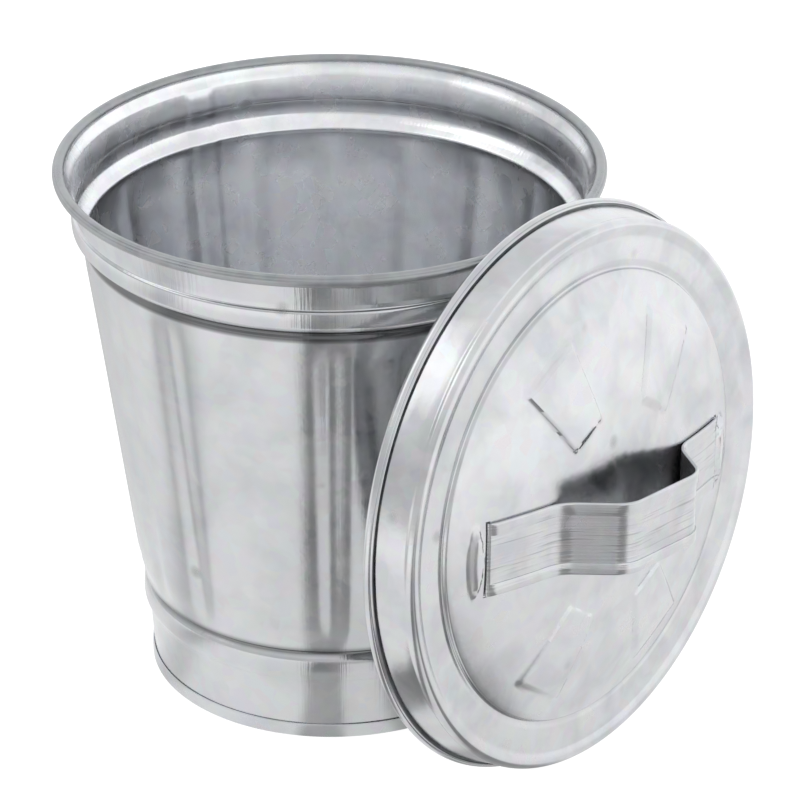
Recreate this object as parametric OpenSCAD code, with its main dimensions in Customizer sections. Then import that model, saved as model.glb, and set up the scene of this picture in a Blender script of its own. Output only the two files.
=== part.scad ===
// Round galvanised waste can: a tapered, fluted sheet-metal bin with a lift-off domed lid.
// The lid is off and leans against the can's rim, standing on the floor on its hem.
// Millimetres. The can's axis is Z, the floor is Z = 0, and the lid leans on the +X side.

/* [Can] */
// Height of the can over its rolled rim
can_height = 313.4; // [240:0.1:400]
// Outside diameter of the rolled rim
rim_diameter = 310; // [280:1:380]
// Diameter of the tapered wall where its slope would meet the floor
wall_base_diameter = 207.6; // [180:0.1:250]
// Thickness of the can's sheet
can_sheet = 0.8; // [0.6:0.1:1.2]
// Diameter of the rolled rim's round section
rim_curl_diameter = 6.7; // [5.6:0.1:8]
// How far the wall flares just under the rolled rim
rim_flare = 1.8; // [1:0.1:3]

/* [Rings round the can] */
// Depth of the plain collar, from the top of the rim to its crease
collar_depth = 24; // [18:0.1:30]
// Depth of the upper bead under the collar
upper_bead_depth = 14; // [10:0.1:18]
// How far the upper bead stands out of the wall's slope
upper_bead_rise = 3; // [1.5:0.1:4]
// Depth of the groove between the upper bead and the flutes
upper_groove_depth = 7.5; // [5:0.1:12]
// Height of the lower end of the flutes above the floor
flute_bottom = 62.8; // [58:0.1:75]
// Height of the lower bead's upper edge above the floor
lower_bead_top = 55; // [50:0.1:55]
// Depth of the lower bead
lower_bead_depth = 16; // [12:0.1:20]
// How far the lower bead stands out of the plain band under it
lower_bead_rise = 1.8; // [1:0.1:4]

/* [Flutes] */
// Number of raised flutes round the wall
flute_count = 18; // [12:1:20]
// Angle each flute covers
flute_angle = 15.6; // [12:0.1:17]
// How far the flutes stand out of the wall between them
flute_rise = 2; // [1.2:0.1:3]

/* [Foot] */
// Outside diameter of the folded hoop round the foot
foot_diameter = 213.4; // [190:0.1:240]
// Height of the folded hoop
foot_height = 9; // [7:0.1:12]
// Thickness of the hoop's sheet
foot_sheet = 1; // [0.8:0.1:1.2]
// Height of the can's floor plate above the ground
floor_height = 12; // [10:0.1:16]
// Depth of the pressed dish in the floor plate
floor_dish = 1.5; // [0.8:0.1:3]

/* [Lid] */
// Gap between the can's rim and the lid's skirt when the lid is on
lid_fit = 0.5; // [0.3:0.1:1.5]
// Thickness of the lid's sheet
lid_sheet = 0.8; // [0.6:0.1:1.1]
// Depth of the lid's skirt, from the hem's middle to the top edge
skirt_depth = 25.6; // [20:0.1:32]
// How far the skirt widens from its top edge to its hem
skirt_spread = 2.2; // [1:0.1:4]
// Diameter of the hem's round section
hem_curl_diameter = 6.6; // [5.6:0.1:8]
// How far the hem stands out of the skirt's outside
hem_stand = 3.7; // [3:0.1:5]
// Width of the rounded bead round the lid's top edge
edge_bead_width = 9; // [6:0.1:12]
// Height of the domed middle above the flat ring round it
dome_height = 20; // [12:0.5:26]
// Diameter of the domed middle
dome_diameter = 256; // [236:1:264]
// Height of the small step round the domed middle
dome_step = 1.2; // [0.6:0.1:2]

/* [Raised panels in the lid] */
// How far the four panels stand out of the dome
panel_rise = 1.7; // [0.9:0.1:2.4]
// Width of a panel's inner end
panel_inner_width = 28; // [20:1:34]
// Width of a panel's outer end
panel_outer_width = 45; // [30:1:56]
// Distance from the lid's middle to a panel's inner end
panel_inner_reach = 59; // [50:1:64]
// Distance from the lid's middle to a panel's outer end
panel_outer_reach = 110; // [90:1:113]
// Angle between the handle's line and a panel's middle line
panel_angle = 60; // [50:1:64]

/* [Handle] */
// Distance between the two slots the strap passes through
handle_span = 209; // [190:1:214]
// Length of the strap's raised grip
grip_length = 62; // [56:1:80]
// Distance between the outer ends of the strap's two legs
leg_spread = 110; // [104:1:122]
// Clear height between the lid and the underside of the grip
finger_gap = 27; // [22:0.5:44]
// Width of the strap
strap_width = 42; // [34:1:48]
// Thickness of the strap's sheet
strap_sheet = 1.2; // [0.8:0.1:1.6]
// Width of the folded-over hem along each side of the strap
strap_hem_width = 7; // [5:0.5:9]
// Length of the tabs bent over inside the lid
tab_length = 14; // [8:0.5:16]
// Bend radius where the grip turns down into its legs
corner_bend = 18; // [8:1:20]
// Bend radius where the legs turn out into the feet
heel_bend = 24; // [8:1:24]
// Height of the half-moon bump beside each slot
bump_rise = 2.6; // [1.2:0.1:3]
// How far the pressed handle seat sits off the lid's middle, along the handle
seat_shift = 3; // [-4:0.5:4]
// How far the pressed handle seat sits off the lid's middle, across the handle
seat_drop = 3.5; // [-4:0.5:4]

/* [Lid at rest against the can] */
// Lean of the lid away from upright
lean_angle = 3.5; // [2.5:0.05:8]
// Sideways distance from the can's axis to the lid's middle
lid_shift = -1; // [-10:0.5:10]
// Turn of the handle from level
handle_turn = -5.5; // [-20:0.5:20]
// Clearance kept between the hem and the rim at rest
rest_gap = 0.35; // [0.3:0.05:1]

/* [Hidden] */
// every separate piece of metal, one solid each
// facet count of every round; above 12 it builds as a true round
$fn = 96;
// slack between a rolled sheet and what it is rolled or folded round
slack = 0.15;
// overshoot of a cutter past the face it cuts
cut = 1;

// --- can, derived ---
rim_r = rim_diameter / 2;
rim_curl_r = rim_curl_diameter / 2;
rim_wire_r = rim_curl_r - can_sheet - slack;
rim_ring_r = rim_r - rim_curl_r;
rim_z = can_height - rim_curl_r;
// outside of the wall right under the curl, and the slope's radius at the top
neck_r = rim_r - rim_curl_diameter + can_sheet;
slope_top_r = neck_r - can_sheet - rim_flare;
slope_base_r = wall_base_diameter / 2;
function slope_r(z) = slope_base_r + (slope_top_r - slope_base_r) * z / can_height;

crease_z = can_height - collar_depth;
upper_bead_end_z = crease_z - upper_bead_depth;
upper_bead_mid_z = crease_z - upper_bead_depth * 0.45;
flute_top = upper_bead_end_z - upper_groove_depth;
flute_mid_r_top = slope_r(flute_top);
flute_floor_top = flute_mid_r_top - flute_rise;
flute_floor_bottom = slope_r(flute_bottom) - flute_rise;
// length of the sloped shoulder at each end of a flute
shoulder = 5;
groove_z = flute_top + upper_groove_depth * 0.3;

// --- foot, derived: pan, wall and hoop nest one inside the other ---
hoop_out_r = foot_diameter / 2;
hoop_in_r = hoop_out_r - foot_sheet;
foot_wall_r = hoop_in_r - slack;
foot_wall_in_r = foot_wall_r - can_sheet;
pan_out_r = foot_wall_in_r - slack;
pan_in_r = pan_out_r - can_sheet;
fold_out_r = pan_in_r - slack;
fold_in_r = fold_out_r - foot_sheet;
fold_height = foot_height * 0.75;
wall_start_z = foot_sheet + slack;
band_top_z = lower_bead_top - lower_bead_depth;
band_top_r = max(foot_wall_r, slope_r(band_top_z) - 1.2);
lower_bead_r = band_top_r + lower_bead_rise;
lower_groove_r = min(lower_bead_r, flute_floor_bottom) - 1.2;
dish_r = pan_in_r * 0.8;

// --- lid, derived, in the lid's own frame: hem's middle at Z = 0, top towards +Z ---
skirt_top_r = rim_r + lid_fit + lid_sheet;
skirt_low_r = skirt_top_r + skirt_spread;
hem_curl_r = hem_curl_diameter / 2;
hem_wire_r = hem_curl_r - lid_sheet - slack;
// the hem's round never reaches in further than the lid's fit over the rim
hem_ring_r = max(skirt_low_r + hem_stand - hem_curl_r, rim_r + lid_fit + hem_curl_r);
hem_out_r = hem_ring_r + hem_curl_r;
bead_top_z = skirt_depth + edge_bead_width * 0.2;
bead_mid_r = skirt_top_r - edge_bead_width * 0.42;
bead_in_r = skirt_top_r - edge_bead_width;
dome_r = dome_diameter / 2;
dome_base_z = skirt_depth + dome_step;
dome_steps = 14;
function dome_z(r) = dome_base_z + dome_height * (1 - pow(r / dome_r, 2));
dome_top_z = dome_z(0);

// --- handle, derived ---
slot_r = handle_span / 2;
slot_width = strap_sheet + 1.8;
slot_length = strap_width + 2;
grip_z = dome_top_z + finger_gap + strap_sheet / 2;
foot_lift = strap_sheet / 2 + slack;
bump_width = 9;
bump_r = slot_r + slot_width / 2 + bump_width / 2 + 0.8;

// --- the lid's place at rest ---
lid_z = hem_ring_r * cos(lean_angle) + hem_curl_r;
// the hem's round may not come nearer to the rim's round than this
ring_reach = rim_curl_r + hem_curl_r + rest_gap;
// sideways place at which each point of the hem would just clear the rim; the lid takes the largest
hem_search = [for (a = [0:0.25:180]) a];
function hem_side(a) = lid_shift + hem_ring_r * cos(a);
function hem_back(a) = -sin(lean_angle) * hem_ring_r * sin(a);
function hem_drop(a) = lid_z + cos(lean_angle) * hem_ring_r * sin(a) - rim_z;
// clear distance from the can's axis to the hem's middle, by its height against the rim
function wall_clear(z) = slope_r(z) + (z > upper_bead_end_z - hem_curl_r ? upper_bead_rise : 0)
    + hem_curl_r + rest_gap;
function hem_reach(drop) =
    abs(drop) < ring_reach ? rim_ring_r + sqrt(pow(ring_reach, 2) - pow(drop, 2))
    : drop < 0 ? wall_clear(rim_z + drop)
    : 0;
hem_x = max([for (a = hem_search)
             let (side = hem_side(a), reach = hem_reach(hem_drop(a)))
             abs(side) < reach ? sqrt(pow(reach, 2) - pow(side, 2)) - hem_back(a) : 0]);
// place at which a rim lower than the lid's top would meet the inside of the lid's flat ring
face_x = rim_z < lid_z + hem_ring_r * cos(lean_angle)
    ? rim_ring_r + (rim_z - lid_z) * tan(lean_angle)
      - (skirt_depth - lid_sheet - rest_gap - rim_curl_r) / cos(lean_angle)
    : 0;
lid_x = max(hem_x, face_x);

// colours of the two finishes
zinc = [0.74, 0.75, 0.76];
steel = [0.55, 0.56, 0.57];

// --- can ---

// outside of the wall from the foot to the rim, as [radius, height]
wall_outside = [
    [foot_wall_r, wall_start_z],
    [foot_wall_r, foot_height],
    [band_top_r, band_top_z - 3],
    [lower_bead_r - 0.7, band_top_z + 2],
    [lower_bead_r, band_top_z + lower_bead_depth * 0.35],
    [lower_bead_r, band_top_z + lower_bead_depth * 0.75],
    [lower_bead_r - 0.4, lower_bead_top - 1.4],
    [lower_groove_r, lower_bead_top + 0.6],
    [lower_groove_r, lower_bead_top + 1.8],
    [flute_floor_bottom, lower_bead_top + 3],
    [flute_floor_bottom, flute_bottom],
    [flute_floor_top, flute_top],
    [slope_r(groove_z) - flute_rise, groove_z],
    [slope_r(upper_bead_end_z) + upper_bead_rise * 0.3, upper_bead_end_z],
    [slope_r(upper_bead_mid_z) + upper_bead_rise * 0.9, upper_bead_end_z + upper_bead_depth * 0.25],
    [slope_r(upper_bead_mid_z) + upper_bead_rise, upper_bead_mid_z],
    [slope_r(crease_z) + upper_bead_rise * 0.55, crease_z - 1],
    [slope_r(crease_z) + 0.2, crease_z],
    [slope_r(rim_z - rim_curl_diameter), rim_z - rim_curl_diameter],
    [neck_r, rim_z - rim_curl_r * 0.4],
    [neck_r, rim_z]
];

function pulled_in(points, by) = [for (p = points) [p[0] - by, p[1]]];
function reversed(points) = [for (i = [len(points) - 1:-1:0]) points[i]];

// a closed solid of revolution under an outline that runs upwards
module turned(points) {
    first = points[0];
    last = points[len(points) - 1];
    rotate_extrude()
        polygon(concat([[0, first[1]]], points, [[0, last[1]]]));
}

// one flute as a solid sector; inset draws its inside
module flute(inset) {
    low = flute_bottom + inset;
    high = flute_top - inset;
    span = flute_angle - 2 * inset * 180 / (PI * slope_r(flute_bottom));
    root = flute_floor_bottom - can_sheet * 2 - inset;
    rotate([0, 0, -span / 2])
        rotate_extrude(angle = span)
            polygon([
                [root, low],
                [slope_r(low) - flute_rise - inset, low],
                [slope_r(low + shoulder) - inset, low + shoulder],
                [slope_r(high - shoulder) - inset, high - shoulder],
                [slope_r(high) - flute_rise - inset, high],
                [root, high]
            ]);
}

module flutes(inset) {
    for (i = [0:flute_count - 1])
        rotate([0, 0, (i + 0.5) * 360 / flute_count])
            flute(inset);
}

// a round ring lying flat
module hoop(ring_r, section_r, z) {
    translate([0, 0, z])
        rotate_extrude()
            translate([ring_r, 0])
                circle(r = section_r);
}

// the opening left where a rolled edge stops short of the wall it came from
module roll_mouth(ring_r, section_r, sheet, z, angle) {
    translate([0, 0, z])
        rotate_extrude()
            translate([ring_r, 0])
                rotate(angle)
                    translate([section_r - sheet - slack, -0.3])
                        square([sheet + slack + cut, 0.6]);
}

// wall sheet with its flutes and beads, rolled over at the top; one flute faces the lid
module body_shell() {
    color(zinc)
    rotate([0, 0, 180 / flute_count])
    difference() {
        union() {
            difference() {
                union() {
                    turned(wall_outside);
                    flutes(0);
                }
                turned(concat([[foot_wall_in_r, wall_start_z - cut]],
                              pulled_in(wall_outside, can_sheet),
                              [[neck_r - can_sheet, rim_z + cut]]));
                flutes(can_sheet);
            }
            hoop(rim_ring_r, rim_curl_r, rim_z);
        }
        hoop(rim_ring_r, rim_curl_r - can_sheet, rim_z);
        roll_mouth(rim_ring_r, rim_curl_r, can_sheet, rim_z, -105);
    }
}

// wire that the top edge is rolled round
module rim_wire() {
    color(steel)
    hoop(rim_ring_r, rim_wire_r, rim_z);
}

// floor plate with its flange turned down inside the wall
module bottom_pan() {
    color(zinc)
    rotate_extrude()
        polygon([
            [pan_in_r, wall_start_z],
            [pan_out_r, wall_start_z],
            [pan_out_r, floor_height],
            [pan_in_r - 2, floor_height + can_sheet],
            [dish_r + 3, floor_height + can_sheet],
            [dish_r, floor_height + can_sheet - floor_dish],
            [0, floor_height + can_sheet - floor_dish],
            [0, floor_height - floor_dish],
            [dish_r, floor_height - floor_dish],
            [dish_r + 3, floor_height],
            [pan_in_r - 2, floor_height],
            [pan_in_r, floor_height - can_sheet]
        ]);
}

// hoop folded up round the wall's lower edge and the pan's flange
module base_ring() {
    color(zinc)
    rotate_extrude()
        polygon([
            [fold_in_r, 0],
            [hoop_out_r, 0],
            [hoop_out_r, foot_height - 0.6],
            [hoop_out_r - 0.5, foot_height],
            [hoop_in_r, foot_height],
            [hoop_in_r, foot_sheet],
            [fold_out_r, foot_sheet],
            [fold_out_r, fold_height],
            [fold_in_r, fold_height]
        ]);
}

// --- lid ---

// outside of the lid from its hem over the top to the middle, raised by lift over the dome
function lid_outside(lift) = concat(
    [
        [skirt_low_r, 0],
        [skirt_low_r, hem_curl_r],
        [skirt_top_r, skirt_depth - 3.6],
        [skirt_top_r - 0.7, skirt_depth - 0.8],
        [skirt_top_r - 2, bead_top_z - 0.6],
        [bead_mid_r, bead_top_z],
        [bead_in_r + 1.5, skirt_depth + 0.6],
        [bead_in_r, skirt_depth - 0.2],
        [dome_r + 1.5, skirt_depth]
    ],
    [for (i = [0:dome_steps]) let (r = dome_r * (1 - i / dome_steps)) [r, dome_z(r) + lift]]
);

// the same surface one sheet inwards
function lid_inside(lift) = [for (p = lid_outside(lift))
    p[0] > bead_mid_r ? [p[0] - lid_sheet, min(p[1], skirt_depth - lid_sheet)]
                      : [p[0], p[1] - lid_sheet]];

// plan of one panel, a wedge that widens outwards, drawn along +X
module panel_plan(inset) {
    polygon([
        [panel_inner_reach + inset, -panel_inner_width / 2 + inset],
        [panel_outer_reach - inset, -panel_outer_width / 2 + inset],
        [panel_outer_reach - inset, panel_outer_width / 2 - inset],
        [panel_inner_reach + inset, panel_inner_width / 2 - inset]
    ]);
}

module panel_plans(inset) {
    for (side = [0, 180], tilt = [-1, 1])
        rotate(side + tilt * panel_angle)
            panel_plan(inset);
}

// plan of the half-moon bumps, each the overlap of two large rounds
module bump_plans(inset) {
    half = slot_length / 2;
    round_r = (half * half + bump_width * bump_width / 4) / bump_width;
    for (side = [0, 180])
        rotate(side)
            translate([bump_r, 0])
                intersection() {
                    translate([round_r - bump_width / 2, 0])
                        circle(r = round_r - inset);
                    translate([bump_width / 2 - round_r, 0])
                        circle(r = round_r - inset);
                }
}

// the dome lifted over the plans of the pressings
module risen(lift, inset) {
    outline = inset > 0 ? lid_inside(lift) : lid_outside(lift);
    intersection() {
        turned(outline);
        turn_handle()
            translate([0, 0, skirt_depth])
                linear_extrude(dome_height * 2)
                    children();
    }
}

module slots() {
    for (side = [-1, 1])
        translate([side * slot_r - slot_width / 2, -slot_length / 2, skirt_depth - cut])
            cube([slot_width, slot_length, dome_height * 2]);
}

module place_lid() {
    translate([lid_x, lid_shift, lid_z])
        rotate([0, 90 - lean_angle, 0])
            rotate([0, 0, 90])
                children();
}

// the handle, its slots and the panels are pressed together, a little off the middle
module turn_handle() {
    rotate([0, 0, handle_turn])
        translate([seat_shift, -seat_drop, 0])
            children();
}

// pressed lid with skirt, edge bead, dome, panels and slots, rolled over at its hem
module lid_pan() {
    color(zinc)
    place_lid()
    difference() {
        union() {
            difference() {
                union() {
                    turned(lid_outside(0));
                    risen(panel_rise, 0) panel_plans(0);
                    risen(bump_rise, 0) bump_plans(0);
                }
                turned(concat([[skirt_low_r - lid_sheet, -cut]], lid_inside(0)));
                risen(panel_rise, lid_sheet) panel_plans(lid_sheet);
                risen(bump_rise, lid_sheet) bump_plans(lid_sheet);
                turn_handle() slots();
            }
            hoop(hem_ring_r, hem_curl_r, 0);
        }
        hoop(hem_ring_r, hem_curl_r - lid_sheet, 0);
        roll_mouth(hem_ring_r, hem_curl_r, lid_sheet, 0, 155);
    }
}

// wire that the hem is rolled round
module lid_wire() {
    color(steel)
    place_lid()
        hoop(hem_ring_r, hem_wire_r, 0);
}

// --- handle strap ---

// rounds the corner at b, coming from a and going to c
bend_steps = 8;
function unit(v) = v / norm(v);
function bend(a, b, c, r) =
    let (
        to_a = unit(a - b),
        to_c = unit(c - b),
        half = acos(to_a * to_c) / 2,
        middle = b + unit(to_a + to_c) * r / sin(half),
        start = b + to_a * r / tan(half) - middle,
        end = b + to_c * r / tan(half) - middle,
        sweep = 180 - 2 * half,
        turn = start[0] * end[1] - start[1] * end[0] > 0 ? 1 : -1
    )
    [for (i = [0:bend_steps]) let (t = turn * sweep * i / bend_steps)
        middle + [start[0] * cos(t) - start[1] * sin(t), start[0] * sin(t) + start[1] * cos(t)]];

leg_x = leg_spread / 2;
shoulder_point = [grip_length / 2, grip_z];
foot_steps = 12;
toe_bend = 1.6;
// how far the strap's end drops under the lid's sheet at the slot, and at the tab's end
toe_drop = lid_sheet + strap_sheet / 2 + 2.2;
tab_drop = lid_sheet + strap_sheet / 2 + 2.8;
// height of the dome's highest line under the strap, x along the handle from the seat's middle
function seat_z(x) = dome_z(x + seat_shift);

// middle line of one half of the strap, from the grip's middle outwards; each foot follows the
// dome on its own side
function half_path(side) =
    let (
        heel = [leg_x, seat_z(side * leg_x) + foot_lift],
        toe = [slot_r, seat_z(side * slot_r) + foot_lift],
        toe_low = [slot_r, seat_z(side * slot_r) - toe_drop],
        tab_end = [slot_r + tab_length, seat_z(side * (slot_r + tab_length)) - tab_drop],
        foot_points = [for (i = [4:foot_steps - 2])
            let (x = leg_x + (slot_r - leg_x) * i / foot_steps)
            [x, seat_z(side * x) + foot_lift]]
    )
    concat(
        [[0, grip_z]],
        bend([0, grip_z], shoulder_point, heel, corner_bend),
        bend(shoulder_point, heel, foot_points[0], heel_bend),
        foot_points,
        bend(foot_points[len(foot_points) - 1], toe, toe_low, toe_bend),
        bend(toe, toe_low, tab_end, toe_bend),
        [tab_end]
    );
strap_path = concat(
    [for (p = reversed(half_path(-1))) if (p[0] > 0) [-p[0], p[1]]],
    half_path(1)
);

// the line moved sideways by d, square to its direction at every point
function moved(path, d) = [for (i = [0:len(path) - 1])
    let (
        before = path[max(i - 1, 0)],
        after = path[min(i + 1, len(path) - 1)],
        along = unit(after - before)
    )
    path[i] + [-along[1], along[0]] * d];

module strap_band(low, high, width) {
    translate([0, width / 2, 0])
        rotate([90, 0, 0])
            linear_extrude(width)
                polygon(concat(moved(strap_path, low), reversed(moved(strap_path, high))));
}

// the part of the strap between its slots, where its edges are folded over
module hem_zone() {
    reach = slot_r - 4;
    translate([-reach, -strap_width, 0])
        cube([2 * reach, 2 * strap_width, grip_z + strap_width]);
}

// hat-shaped strap: tabs under the lid, feet on the dome, two legs and the grip
module handle_strap() {
    half_sheet = strap_sheet / 2;
    color(zinc)
    place_lid()
    turn_handle()
    union() {
        strap_band(-half_sheet, half_sheet, strap_width);
        for (side = [-1, 1])
            translate([0, side * (strap_width - strap_hem_width) / 2, 0])
                intersection() {
                    strap_band(0, half_sheet + strap_sheet * 0.75, strap_hem_width);
                    hem_zone();
                }
    }
}

body_shell();
rim_wire();
bottom_pan();
base_ring();
lid_pan();
lid_wire();
handle_strap();
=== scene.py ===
from math import acos, cos, pi, radians, sin, tan

import bmesh
import bpy
import numpy as np
from mathutils import Matrix, Vector


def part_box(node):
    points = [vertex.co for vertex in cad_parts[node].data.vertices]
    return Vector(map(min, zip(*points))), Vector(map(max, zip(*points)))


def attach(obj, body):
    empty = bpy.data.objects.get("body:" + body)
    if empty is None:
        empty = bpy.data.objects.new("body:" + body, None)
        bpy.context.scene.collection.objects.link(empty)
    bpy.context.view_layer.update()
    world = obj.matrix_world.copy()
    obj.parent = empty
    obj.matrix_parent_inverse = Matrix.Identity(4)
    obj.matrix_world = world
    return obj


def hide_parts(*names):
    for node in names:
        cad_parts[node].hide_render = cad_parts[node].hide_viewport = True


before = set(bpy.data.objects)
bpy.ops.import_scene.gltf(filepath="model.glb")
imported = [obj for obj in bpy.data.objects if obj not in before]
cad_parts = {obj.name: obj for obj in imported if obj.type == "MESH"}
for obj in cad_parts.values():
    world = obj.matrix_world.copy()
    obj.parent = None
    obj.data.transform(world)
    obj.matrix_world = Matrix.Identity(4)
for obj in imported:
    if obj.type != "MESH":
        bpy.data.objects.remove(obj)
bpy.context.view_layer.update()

MM = 0.001

# ---------------------------------------------------------------- camera and light

scene = bpy.context.scene
scene.view_settings.view_transform = "Standard"
scene.view_settings.look = "None"

CAMERA_PLACE = (1.4091, -1.6628, 1.2840)
CAMERA_AIM = (-0.56249, 0.68850, -0.45779)
CAMERA_LENS = 191.91

camera_data = bpy.data.cameras.new("camera")
camera_data.lens = CAMERA_LENS
camera_data.sensor_width = 36
camera_data.clip_end = 50
camera = bpy.data.objects.new("camera", camera_data)
camera.location = CAMERA_PLACE
camera.rotation_euler = Vector(CAMERA_AIM).to_track_quat("-Z", "Y").to_euler()
scene.collection.objects.link(camera)
scene.camera = camera


def linear(hex_colour):
    """An sRGB colour such as "#C8CCD0" as linear red, green, blue and alpha 1."""
    out = []
    for i in (1, 3, 5):
        c = int(hex_colour[i:i + 2], 16) / 255
        out.append(c / 12.92 if c <= 0.04045 else ((c + 0.055) / 1.055) ** 2.4)
    return (*out, 1.0)


def area_light(name, place, target, size, power):
    data = bpy.data.lights.new(name, "AREA")
    data.shape = "RECTANGLE"
    data.size, data.size_y = size
    data.energy = power
    light = bpy.data.objects.new(name, data)
    light.location = place
    light.rotation_euler = (Vector(target) - Vector(place)).to_track_quat("-Z", "Y").to_euler()
    scene.collection.objects.link(light)


area_light("key_softbox", (-1.6, -1.4, 2.4), (0, 0, 0.15), (1.8, 1.8), 7.5)

# ---------------------------------------------------------------- materials


def add(tree, kind, settings=None, links=None):
    """Adds one node: settings are its properties and inputs, links feed its inputs."""
    node = tree.nodes.new(kind)
    for key, value in (settings or {}).items():
        if isinstance(key, str) and hasattr(node, key):
            setattr(node, key, value)
        else:
            node.inputs[key].default_value = value
    for key, output in (links or {}).items():
        tree.links.new(output, node.inputs[key])
    return node


def new_material(name):
    material = bpy.data.materials.new(name)
    material.use_nodes = True
    material.node_tree.nodes.clear()
    return material, material.node_tree


def per_mm(size_mm):
    """Texture scale that gives a feature about this many millimetres across."""
    return 1000 / size_mm


def galvanised(name, base, dull, rough, chatter=0.0, cloud_mm=38, stain=1.0, ribs=0.0,
               groove_shade=()):
    """Zinc-coated steel: a soft mirror, clouded, with faint spangle, marks and roll lines."""
    material, tree = new_material(name)
    place = add(tree, "ShaderNodeTexCoord").outputs["Object"]
    clouds = add(tree, "ShaderNodeTexNoise",
                 {"Scale": per_mm(cloud_mm), "Detail": 3.0, "Roughness": 0.5, "Distortion": 0.4},
                 {"Vector": place}).outputs["Fac"]
    spangle = add(tree, "ShaderNodeTexVoronoi", {"Scale": per_mm(7), "Randomness": 1.0},
                  {"Vector": place}).outputs["Color"]
    spangle_value = add(tree, "ShaderNodeSeparateColor", {}, {"Color": spangle}).outputs["Red"]
    speck = add(tree, "ShaderNodeTexNoise", {"Scale": per_mm(2.6), "Detail": 1.0},
                {"Vector": place}).outputs["Fac"]
    # small grey stains, a few millimetres across and far apart
    wobble = add(tree, "ShaderNodeTexNoise", {"Scale": per_mm(15), "Detail": 1.0},
                 {"Vector": place}).outputs["Color"]
    smeared = add(tree, "ShaderNodeVectorMath",
                  {"operation": "MULTIPLY_ADD", 1: (0.004, 0.004, 0.004)},
                  {0: wobble, 2: place}).outputs["Vector"]
    spots = add(tree, "ShaderNodeTexVoronoi", {"Scale": per_mm(44), "Randomness": 1.0},
                {"Vector": smeared}).outputs["Distance"]
    spot_mask = add(tree, "ShaderNodeMapRange",
                    {"interpolation_type": "SMOOTHSTEP", "From Min": 0.03, "From Max": 0.13,
                     "To Min": stain, "To Max": 0.0}, {"Value": spots}).outputs["Result"]

    tone = add(tree, "ShaderNodeMix",
               {"data_type": "RGBA", 6: linear(dull), 7: linear(base)},
               {0: add(tree, "ShaderNodeMapRange",
                       {"From Min": 0.34, "From Max": 0.6}, {"Value": clouds}).outputs["Result"]}
               ).outputs[2]
    spangled = add(tree, "ShaderNodeMix", {"data_type": "RGBA", "blend_type": "MULTIPLY", 0: 0.06},
                   {6: tone, 7: spangle}).outputs[2]
    surface_colour = add(tree, "ShaderNodeMix", {"data_type": "RGBA", 7: linear("#8C8D8C")},
                  {6: spangled, 0: spot_mask}).outputs[2]

    rough_cloud = add(tree, "ShaderNodeMapRange",
                      {"From Min": 0.3, "From Max": 0.7, "To Min": rough * 0.72,
                       "To Max": rough * 1.3}, {"Value": clouds}).outputs["Result"]
    rough_all = add(tree, "ShaderNodeMath", {"operation": "MULTIPLY_ADD", 1: 0.05},
                    {0: spangle_value, 2: rough_cloud}).outputs["Value"]
    rough_spot = add(tree, "ShaderNodeMath", {"operation": "MULTIPLY_ADD", 1: 0.2},
                     {0: spot_mask, 2: rough_all}).outputs["Value"]

    height = add(tree, "ShaderNodeMath", {"operation": "MULTIPLY_ADD", 1: 0.14},
                 {0: speck, 2: clouds}).outputs["Value"]
    if groove_shade:
        # painted shade in the pressed grooves, darker bands by height: (height in millimetres,
        # tone)
        heights = add(tree, "ShaderNodeSeparateXYZ", {}, {"Vector": place}).outputs["Z"]
        band = add(tree, "ShaderNodeValToRGB", {},
                   {"Fac": add(tree, "ShaderNodeMapRange",
                               {"From Max": groove_shade[-1][0] * MM}, {"Value": heights}
                               ).outputs["Result"]})
        stops = band.color_ramp.elements
        while len(stops) < len(groove_shade):
            stops.new(0.5)
        for stop, (level, tone_hex) in zip(stops, groove_shade):
            stop.position = level / groove_shade[-1][0]
            stop.color = linear(tone_hex)
        surface_colour = add(tree, "ShaderNodeMix",
                      {"data_type": "RGBA", "blend_type": "MULTIPLY", 0: 1.0},
                      {6: surface_colour, 7: band.outputs["Color"]}).outputs[2]
    if chatter:
        # fine upright lines pressed in by the rolls that beaded the wall, most of them on the
        # collar and the beads
        axes = add(tree, "ShaderNodeSeparateXYZ", {}, {"Vector": place})
        angle = add(tree, "ShaderNodeMath", {"operation": "ARCTAN2"},
                    {0: axes.outputs["Y"], 1: axes.outputs["X"]}).outputs["Value"]
        turn = add(tree, "ShaderNodeCombineXYZ", {},
                   {"X": angle,
                    "Y": add(tree, "ShaderNodeMath", {"operation": "MULTIPLY", 1: 0.22},
                             {0: axes.outputs["Z"]}).outputs["Value"]}).outputs["Vector"]
        lines = add(tree, "ShaderNodeTexNoise", {"Scale": 88.0, "Detail": 2.0}, {"Vector": turn}
                    ).outputs["Fac"]
        where = add(tree, "ShaderNodeTexNoise", {"Scale": 6.0, "Detail": 1.0}, {"Vector": turn}
                    ).outputs["Fac"]
        strong = add(tree, "ShaderNodeMapRange",
                     {"From Min": 0.3, "From Max": 0.6, "To Max": chatter}, {"Value": where}
                     ).outputs["Result"]
        from_flutes = add(tree, "ShaderNodeMath", {"operation": "SUBTRACT", 1: 0.166},
                          {0: axes.outputs["Z"]}).outputs["Value"]
        on_beads = add(tree, "ShaderNodeMapRange",
                       {"From Min": 0.1, "From Max": 0.11, "To Min": 0.16, "To Max": 1.0},
                       {"Value": add(tree, "ShaderNodeMath", {"operation": "ABSOLUTE"},
                                     {0: from_flutes}).outputs["Value"]}).outputs["Result"]
        strong = add(tree, "ShaderNodeMath", {"operation": "MULTIPLY"},
                     {0: strong, 1: on_beads}).outputs["Value"]
        height = add(tree, "ShaderNodeMath", {"operation": "MULTIPLY_ADD"},
                     {0: lines, 1: strong, 2: height}).outputs["Value"]
    if ribs:
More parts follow.
